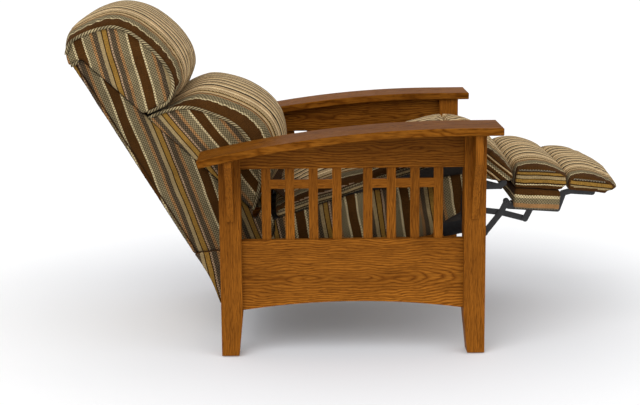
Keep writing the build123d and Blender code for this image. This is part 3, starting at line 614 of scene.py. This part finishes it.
def cord_loop(name, points, shown, material, body):
    """A welt cord along a closed loop, made only where it shows.

    It is a tube with a UV in metres, along the cord and round it.
    """
    count = len(points)
    bm = bmesh.new()
    layer = bm.loops.layers.uv.new("cord")
    rings = []
    lengths = [0.0]
    for i in range(count):
        lengths.append(lengths[-1] + (points[(i + 1) % count] - points[i]).length)
    for i, point in enumerate(points):
        tangent = (points[(i + 1) % count] - points[i - 1]).normalized()
        outward = tangent.cross(Vector((0, 1, 0))).normalized()
        sideways = tangent.cross(outward).normalized()
        wave = 1 + cord_unevenness * noise.noise(point * cord_lump_marks)
        ring = []
        for k in range(cord_sides):
            angle = 2 * pi * k / cord_sides
            spoke = outward * cos(angle) + sideways * sin(angle)
            ring.append(bm.verts.new(point + spoke * cord_radius * wave))
        rings.append(ring)
    for i in range(count):
        here, there = rings[i], rings[(i + 1) % count]
        if not (shown[i] and shown[(i + 1) % count]):
            continue
        if not shown[i - 1]:
            bm.faces.new(here)
        if not shown[(i + 2) % count]:
            bm.faces.new(there)
        for k in range(cord_sides):
            after = (k + 1) % cord_sides
            face = bm.faces.new([here[k], here[after], there[after], there[k]])
            places = [(lengths[i], k), (lengths[i], k + 1), (lengths[i + 1], k + 1), (lengths[i + 1], k)]
            for loop, (u, v) in zip(face.loops, places):
                loop[layer].uv = (u, v / cord_sides * 2 * pi * cord_radius)
            face.smooth = True
    bmesh.ops.delete(bm, geom=[v for v in bm.verts if not v.link_faces], context="VERTS")
    bmesh.ops.recalc_face_normals(bm, faces=bm.faces)
    obj = finished(bm, name)
    obj.data.materials.append(material)
    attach(obj, body)


# Covers. Remeshing comes first, then the cloth simulation, then pleats and folds.

held_reach = 12 * MM
cloth_pressure = 4.0
cloth_frames = 20
cloth_quality = 4
cloth_stiffness = 12
cloth_bending = 0.6

pleat_pitch = 24 * MM
pleat_reach = 25 * MM
pleat_drift = 2.5
cushion_rumple = 2.5 * MM
cushion_rumple_marks = 9.0
board_rumple = 1.2 * MM
board_rumple_marks = 14.0
end_zone = 30 * MM
fold_zone = 12 * MM
fold_depth = 4 * MM


def apply_modifiers(obj):
    """Keeps the mesh that the modifiers give, and clears them."""
    graph = bpy.context.evaluated_depsgraph_get()
    data = bpy.data.meshes.new_from_object(obj.evaluated_get(graph))
    old = obj.data
    obj.modifiers.clear()
    obj.data = data
    bpy.data.meshes.remove(old)


def remeshed(obj, voxel, smoothing):
    """Gives the mesh even faces of a voxel's size, and smooths it as many times as told."""
    modifier = obj.modifiers.new("remesh", "REMESH")
    modifier.mode = "VOXEL"
    modifier.voxel_size = voxel
    apply_modifiers(obj)
    modifier = obj.modifiers.new("smooth", "SMOOTH")
    modifier.factor = 0.5
    modifier.iterations = smoothing
    apply_modifiers(obj)


def nearest_finder(points):
    tree = KDTree(len(points))
    for i, point in enumerate(points):
        tree.insert(point, i)
    tree.balance()
    return tree


def swollen(obj, seams, cap):
    """Blows the cover up as cloth, held at its seams, and keeps each point within cap of its place."""
    start = [v.co.copy() for v in obj.data.vertices]
    pins = nearest_finder(seams)
    group = obj.vertex_groups.new(name="held")
    for v in obj.data.vertices:
        near = pins.find(v.co)[2]
        if near < held_reach:
            group.add([v.index], 1.0, "REPLACE")
    cloth = obj.modifiers.new("cloth", "CLOTH")
    cloth.settings.use_pressure = True
    cloth.settings.uniform_pressure_force = cloth_pressure
    cloth.settings.effector_weights.gravity = 0
    cloth.settings.vertex_group_mass = "held"
    cloth.settings.quality = cloth_quality
    cloth.settings.tension_stiffness = cloth_stiffness
    cloth.settings.compression_stiffness = cloth_stiffness
    cloth.settings.bending_stiffness = cloth_bending
    scene = bpy.context.scene
    for number in range(1, cloth_frames + 1):
        scene.frame_set(number)
        bpy.context.view_layer.update()
    graph = bpy.context.evaluated_depsgraph_get()
    moved = [v.co.copy() for v in obj.evaluated_get(graph).data.vertices]
    obj.modifiers.clear()
    obj.vertex_groups.clear()
    scene.frame_set(1)
    for v, a, b in zip(obj.data.vertices, start, moved):
        step = b - a
        if step.length > cap:
            step *= cap / step.length
        v.co = a + step


def gathered(obj, seams, shares, depth):
    """Small pleats that run out of the seams and die away. Each seam point has its share of the depth."""
    tree = nearest_finder(seams)
    normals = [v.normal.copy() for v in obj.data.vertices]
    for v, normal in zip(obj.data.vertices, normals):
        _, index, far = tree.find(v.co)
        if far > 3 * pleat_reach or abs(normal.y) > 0.8 or not shares[index]:
            continue
        length = index * seam_spacing
        wave = sin(2 * pi * length / pleat_pitch + pleat_drift * noise.noise(seams[index] * 18))
        strength = 0.5 + 0.5 * noise.noise(seams[index] * 9 + Vector((7, 3, 1)))
        v.co += normal * depth * shares[index] * wave * max(strength, 0) * exp(-far / pleat_reach)


def rumpled(obj, depth, scale):
    """Slow unevenness of a stuffed cover."""
    points = [v.co.copy() for v in obj.data.vertices]
    normals = [v.normal.copy() for v in obj.data.vertices]
    for v, point, normal in zip(obj.data.vertices, points, normals):
        v.co = point + normal * depth * noise.noise(point * scale)


def end_faces(obj, loops, edge_y):
    """Puts the cover's faces inside the seams on the second material."""
    for polygon in obj.data.polygons:
        place, normal = polygon.center, polygon.normal
        loop = loops[0] if place.y < 0 else loops[1]
        at_end = abs(place.y) > edge_y - end_zone and abs(normal.y) > 0.25
        polygon.material_index = 1 if at_end and inside(loop, place.x, place.z) else 0
        polygon.use_smooth = True


def folded_ends(obj, loops, edge_y, folds):
    """Folds that fan out over the flat ends from their middles."""
    middle = sum(loops[0], Vector()) / len(loops[0])
    reach = max((point - middle).length for point in loops[0])
    for v in obj.data.vertices:
        if abs(v.co.y) < edge_y - fold_zone:
            continue
        across = Vector((v.co.x - middle.x, 0, v.co.z - middle.z))
        share = min(across.length / reach, 1.0)
        angle = atan2(across.z, across.x) + 0.5 * noise.noise(v.co * 25)
        v.co.y += (1 if v.co.y > 0 else -1) * fold_depth * share * sin(folds * angle)


# The cushions' sides along the back frame face rearwards and down. They have no cord, and the pleats fade
# out before them. A turn is 1 where the seam faces as they do.
cord_free_angle = radians(48)
cord_free_side = Vector((-cos(cord_free_angle), 0, -sin(cord_free_angle)))
cord_free_turn = 0.6
pleat_fade_turn = 0.5

corner_rounds = 4
cushion_smoothing = 6
cushion_voxel = 6 * MM
pad_voxel = 5 * MM
back_swell = 14 * MM
seat_swell = 12 * MM
firm_swell = 6 * MM
head_pleats = 5 * MM
lumbar_pleats = 6 * MM
seat_pleats = 1 * MM
roll_pleats = 5 * MM
pad_pleats = 1.8 * MM
roll_folds = 11


def welt_cords(node, body, loops, normals, shown, material):
    for i, (side, word) in enumerate(((-1, "right"), (1, "left"))):
        outset = Vector((0, side * cord_outset, 0))
        points = [point + normal * cord_proud + outset for point, normal in zip(loops[i], normals[i])]
        cord_loop(f"{node}_welt_{word}", points, shown[i], material, body)


def stuffed(node, body, cloths, swell, pleats, voxel=cushion_voxel, piping=None, with_board=None,
            folds=0):
    """A cushion over its solid: a swollen cover with a crown cloth and an end cloth.

    It gets a welt if piping is given. With a board, the cover wraps the board's solid too.
    """
    obj = copy_of(node, node + "_cover")
    loops = [rounded_corners(seam_points(obj, side), corner_rounds) for side in (-1, 1)]
    seams = loops[0] + loops[1]
    edge_y = abs(loops[0][0].y)
    if with_board:
        joined(obj, with_board)
    remeshed(obj, voxel, cushion_smoothing)
    swollen(obj, seams, swell)
    normals = [outward_normals(loop) for loop in loops]
    turns = [[normal.dot(cord_free_side) for normal in row] for row in normals]
    shown = [[turn < cord_free_turn for turn in row] for row in turns]
    shares = [min(max((cord_free_turn - turn) / pleat_fade_turn, 0), 1) for row in turns for turn in row]
    gathered(obj, seams, shares, pleats)
    rumpled(obj, cushion_rumple, cushion_rumple_marks)
    for cloth in cloths:
        obj.data.materials.append(cloth)
    end_faces(obj, loops, edge_y)
    if folds:
        folded_ends(obj, loops, edge_y, folds)
    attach(obj, body)
    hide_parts(node)
    if with_board:
        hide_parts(with_board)
    if piping:
        welt_cords(node, body, loops, normals, shown, piping)
    return obj


def drooping(obj, drop):
    """Lets the cover sink towards its front end."""
    rear = min(v.co.x for v in obj.data.vertices)
    front = max(v.co.x for v in obj.data.vertices)
    for v in obj.data.vertices:
        v.co.z -= drop * ((v.co.x - rear) / (front - rear)) ** 2


board_voxel = 5 * MM
back_voxel = 4 * MM
tail_voxel = 3 * MM
tail_rumple = 2.5 * MM
flipper_droop = 9 * MM
lip_drop = 12 * MM
lip_width = 16 * MM
lip_fade_share = 0.3


def covered_board(node, body, face, side_face=None, voxel=board_voxel, smoothing=5, rumple=board_rumple):
    """A padded board under cloth: the solid's form with softened edges."""
    obj = copy_of(node, node + "_cover")
    remeshed(obj, voxel, smoothing)
    rumpled(obj, rumple, board_rumple_marks)
    obj.data.materials.append(face)
    if side_face:
        obj.data.materials.append(side_face)
    for polygon in obj.data.polygons:
        polygon.use_smooth = True
        polygon.material_index = 1 if side_face and abs(polygon.normal.y) > 0.7 else 0
    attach(obj, body)
    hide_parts(node)
    return obj


# Directions of the stripes in the side view, as (across, along)

def leaning(angle):
    """Stripes that lean back from straight up by an angle."""
    a = radians(angle)
    return (cos(a), 0.0, sin(a)), (-sin(a), 0.0, cos(a))


def lying(angle):
    """Stripes that lie level, or rise towards the front by an angle."""
    a = radians(angle)
    return (-sin(a), 0.0, cos(a)), (cos(a), 0.0, sin(a))


footrest_slope = -4

# Cloth of the parts seen from the side: its node, stripes, directions and painted shade scale (below 1
# darkens the cloth of parts that sit in shade), and how far a first stripe's edge lies in front of and above
# the rear lower corner of the node's box, in millimetres
side_cloths = {
    "seat_end": ("seat_cushion", boxing_stripes, lying(18), 1.0, (69.2, 19.4)),
    "head_end": ("headrest_cushion", bright_stripes, leaning(14), 1.0, (186.3, 166.5)),
    "lumbar_end": ("lumbar_cushion", bright_stripes, leaning(37), 1.0, (122.3, 259.3)),
    "roll_end": ("seat_front_roll", fold_stripes, lying(-38), 1.0, (2.2, 51.9)),
    "pad_end": ("footrest_pad", pad_end_stripes, lying(footrest_slope), 1.0, (68.3, 7.5)),
    "flipper_end": ("flipper_pad", flipper_end_stripes, lying(-7), 1.0, (84.1, -15.4)),
    # The seat side panels, the back's sides and the tail are darkened with painted shade, for sitting in
    # shade
    "side_cloth": ("seat_side_panel_right", bright_stripes, leaning(9), 0.84, (243.9, 152.8)),
    "back_side_cloth": ("back_side_right", bright_stripes, leaning(20), 0.76, (132.8, 301.6)),
    "tail_cloth": ("back_tail", bright_stripes, leaning(12), 0.9, (-36.0, 66.4)),
    "board_cloth": ("footrest_board", board_stripes, lying(footrest_slope), 1.0, (71.8, -11.7)),
}


def side_cloth(name):
    node, stripes, directions, painted_shade_scale, (ahead, above) = side_cloths[name]
    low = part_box(node)[0]
    return chenille(name, stripes, directions, (low.x + ahead * MM, 0, low.z + above * MM), painted_shade_scale=painted_shade_scale)


def crown_cloth(name, node, along):
    """Cloth whose stripes run over the cushions from front to rear, with a border along both edges."""
    half_width = abs(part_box(node)[0].y)
    return chenille(name, calm_stripes, ((0, 1, 0), along), half_width, border_stripes)


def side_lips(obj, drop, width):
    """Lengthens a board's cover downwards along its two side edges."""
    up = Vector(lying(footrest_slope)[0])
    heights = [v.co.dot(up) for v in obj.data.vertices]
    low, high = min(heights), max(heights)
    edge = max(abs(v.co.y) for v in obj.data.vertices)
    for v, height in zip(obj.data.vertices, heights):
        share = max(0.0, min(1.0, (abs(v.co.y) - edge + width) / (lip_fade_share * width)))
        v.co -= up * drop * share * (high - height) / (high - low)


def dress_cushions():
    piping = piping_cloth()
    seat_crown = crown_cloth("seat_crown", "seat_cushion", (1, 0, 0.2))
    back_crown = crown_cloth("back_crown", "seat_cushion", (0.6, 0, -0.8))
    foot_crown = crown_cloth("foot_crown", "footrest_pad", (1, 0, -0.3))
    stuffed("headrest_cushion", "back", (back_crown, side_cloth("head_end")), back_swell, head_pleats,
            piping=piping)
    stuffed("lumbar_cushion", "back", (back_crown, side_cloth("lumbar_end")), back_swell, lumbar_pleats,
            piping=piping)
    stuffed("seat_cushion", "seat", (seat_crown, side_cloth("seat_end")), seat_swell, seat_pleats)
    stuffed("seat_front_roll", "seat", (seat_crown, side_cloth("roll_end")), firm_swell, roll_pleats,
            folds=roll_folds)
    stuffed("footrest_pad", "footrest", (foot_crown, side_cloth("pad_end")), firm_swell, pad_pleats,
            voxel=pad_voxel)
    flipper = stuffed("flipper_pad", "flipper", (foot_crown, side_cloth("flipper_end")), firm_swell,
                      pad_pleats, voxel=pad_voxel, with_board="flipper_board")
    drooping(flipper, flipper_droop)


# The tuck's line in the side view, in millimetres in front of the seat cushion's rear and above the lower
# cushion's underside. It starts on the back and ends on the seat.
tuck_places = [(-12, 76), (-2, 64), (6, 52), (16, 42), (32, 30)]
tuck_inset = 14 * MM
tuck_sag = 3 * MM
tuck_thickness = 2 * MM
tuck_steps = 24


def tucked_cloth():
    """The lower cushion's cloth, tucked down behind the seat cushion. It closes the gap between them."""
    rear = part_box("seat_cushion")[0].x
    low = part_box("lumbar_cushion")[0].z
    line = [(rear + x * MM, low + z * MM) for x, z in tuck_places]
    half = abs(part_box("seat_cushion")[0].y) - tuck_inset
    bm = bmesh.new()
    rows = []
    for i in range(tuck_steps + 1):
        y = half * (2 * i / tuck_steps - 1)
        sag = tuck_sag * noise.noise(Vector((0, y * 14, 0)))
        rows.append([bm.verts.new((x + sag, y, z + sag)) for x, z in line])
    for here, there in zip(rows, rows[1:]):
        for k in range(len(line) - 1):
            bm.faces.new([here[k], here[k + 1], there[k + 1], there[k]]).smooth = True
    obj = finished(bm, "tucked_cloth")
    thick = obj.modifiers.new("thick", "SOLIDIFY")
    thick.thickness = tuck_thickness
    apply_modifiers(obj)
    obj.data.materials.append(chenille("tucked_lining", lining_stripes, ((0, 1, 0), (1, 0, 0)), (0, 0, 0)))
    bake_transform(obj)


def dress_panels():
    side = side_cloth("side_cloth")
    back = side_cloth("back_side_cloth")
    outside = crown_cloth("outside_cloth", "outside_back", (0.5, 0, 0.86))
    for word in ("right", "left"):
        covered_board("seat_side_panel_" + word, "seat", side)
        covered_board("back_side_" + word, "back", back)
    covered_board("outside_back", "back", outside, side_face=back, voxel=back_voxel, smoothing=2)
    covered_board("back_tail", "back", outside, side_face=side_cloth("tail_cloth"), voxel=tail_voxel,
                  smoothing=1, rumple=tail_rumple)
    foot_board = covered_board("footrest_board", "footrest", side_cloth("board_cloth"), smoothing=4)
    side_lips(foot_board, lip_drop, lip_width)


def paint_frame():
    timber = plain_wood("frame_timber")
    for name in ("seat_side_rail_right", "seat_side_rail_left", "seat_front_rail", "seat_rear_rail",
                 "back_top_rail", "back_bottom_rail"):
        paint(name, timber)
    strap = webbing()
    for name in ("seat_webbing", "back_webbing"):
        paint(name, strap)
    black = steel("black_enamel", enamel_dark, enamel_light, 0.4, 0.32, 0.5)
    for name in ("base_rail_right", "base_rail_left", "tilt_pins", "side_plate_right", "side_plate_left",
                 "seat_pivot_pins", "lift_bars", "lift_tube", "steering_bars", "crossing_bars",
                 "crossing_pins", "toe_links", "toe_pins", "back_hinge_plates", "footrest_brackets",
                 "bracket_pins", "flipper_plates"):
        paint(name, black)
    paint("base_bolts", steel("zinc_plate", zinc_dark, zinc_light, 1.0, 0.3, 0.45))
    paint("post_glides", glide_plastic())


# Stage

floor_half_width = 30.0
# Painted shadow on the floor: the colour turns darker and bluer towards a middle under the chair
painted_shadow_middle = (side_start + 350 * MM, 200 * MM, 0)
painted_shadow_fade_start = 300 * MM
painted_shadow_fade_end = 1240 * MM
floor_ramp_reach = 2.0
floor_painted_shadow = (0.73, 0.745, 0.785)
floor_far = (0.94, 0.945, 0.955)
floor_glow = 0.06
sky_strength = 0.72

# Name, elevation, turn from the camera's side towards the chair's front, strength and spread
suns = [("key", 38, -28, 1.35, 50), ("fill", 30, 40, 0.6, 70)]

# The photograph's view, as fitted to the chair's wooden sides
camera_place = (side_start + 213.2 * MM, -4060.7 * MM, 1136.7 * MM)
camera_yaw = radians(0.797)
camera_pitch = radians(11.05)
camera_roll = radians(-0.53)
camera_lens = 80.89
camera_sensor = 36


def floor():
    """A pale floor, with a painted shadow under and around the chair."""
    bm = bmesh.new()
    bmesh.ops.create_grid(bm, x_segments=1, y_segments=1, size=floor_half_width)
    obj = finished(bm, "floor")
    material, tree, shader = new_material("floor_paint")
    # Painted shadow: the nearer the middle under the chair, the darker the floor's colour
    far = vector_node(tree, "LENGTH", vector_node(tree, "SUBTRACT", object_point(tree), painted_shadow_middle),
                      output="Value")
    place = math_node(tree, "DIVIDE", far, floor_ramp_reach)
    colour = ramp(tree, place, [(painted_shadow_fade_start / floor_ramp_reach, floor_painted_shadow),
                                (painted_shadow_fade_end / floor_ramp_reach, floor_far)])
    tree.links.new(colour, shader.inputs["Base Color"])
    shader.inputs["Roughness"].default_value = 0.95
    shader.inputs["Specular IOR Level"].default_value = 0.05
    shader.inputs["Emission Color"].default_value = (1, 1, 1, 1)
    shader.inputs["Emission Strength"].default_value = floor_glow
    obj.data.materials.append(material)


def world():
    """A soft white sky. It shows at full white to the camera, in gloss and through glass."""
    sky = bpy.data.worlds.new("studio")
    sky.use_nodes = True
    tree = sky.node_tree
    background = tree.nodes["Background"]
    background.inputs["Color"].default_value = (1.0, 1.0, 1.0, 1)
    background.inputs["Strength"].default_value = sky_strength
    shown = add(tree, "ShaderNodeBackground", {"Color": (1, 1, 1, 1), "Strength": 1.0})
    path = add(tree, "ShaderNodeLightPath").outputs
    seen = math_node(tree, "MAXIMUM", path["Is Glossy Ray"], path["Is Transmission Ray"])
    seen = math_node(tree, "MAXIMUM", seen, path["Is Camera Ray"])
    blend = add(tree, "ShaderNodeMixShader", {0: seen, 1: background.outputs[0], 2: shown.outputs[0]})
    tree.links.new(blend.outputs[0], tree.nodes["World Output"].inputs["Surface"])
    bpy.context.scene.world = sky


def sun(name, elevation, turn, strength, spread):
    """A broad light from far off."""
    data = bpy.data.lights.new(name, "SUN")
    data.energy = strength
    data.angle = radians(spread)
    up, side = radians(elevation), radians(turn)
    source = Vector((sin(side) * cos(up), -cos(side) * cos(up), sin(up)))
    obj = bpy.data.objects.new(name, data)
    obj.rotation_euler = (-source).to_track_quat("-Z", "Y").to_euler()
    bpy.context.scene.collection.objects.link(obj)


def camera():
    """Looks at the chair as the photograph does."""
    ahead = Vector((sin(camera_yaw) * cos(camera_pitch), cos(camera_yaw) * cos(camera_pitch),
                    -sin(camera_pitch)))
    right = Vector((cos(camera_yaw), -sin(camera_yaw), 0))
    up = right.cross(ahead)
    tilted_right = right * cos(camera_roll) + up * sin(camera_roll)
    tilted_up = up * cos(camera_roll) - right * sin(camera_roll)
    axes = Matrix((tilted_right, tilted_up, -ahead)).transposed().to_4x4()
    data = bpy.data.cameras.new("camera")
    data.sensor_width = camera_sensor
    data.lens = camera_lens
    data.clip_end = 2 * floor_half_width
    obj = bpy.data.objects.new("camera", data)
    obj.matrix_world = Matrix.Translation(camera_place) @ axes
    bpy.context.scene.collection.objects.link(obj)
    bpy.context.scene.camera = obj


paint_wood()
paint_frame()
dress_panels()
dress_cushions()
tucked_cloth()
floor()
world()
for row in suns:
    sun(*row)
camera()
bpy.context.scene.view_settings.view_transform = "Standard"
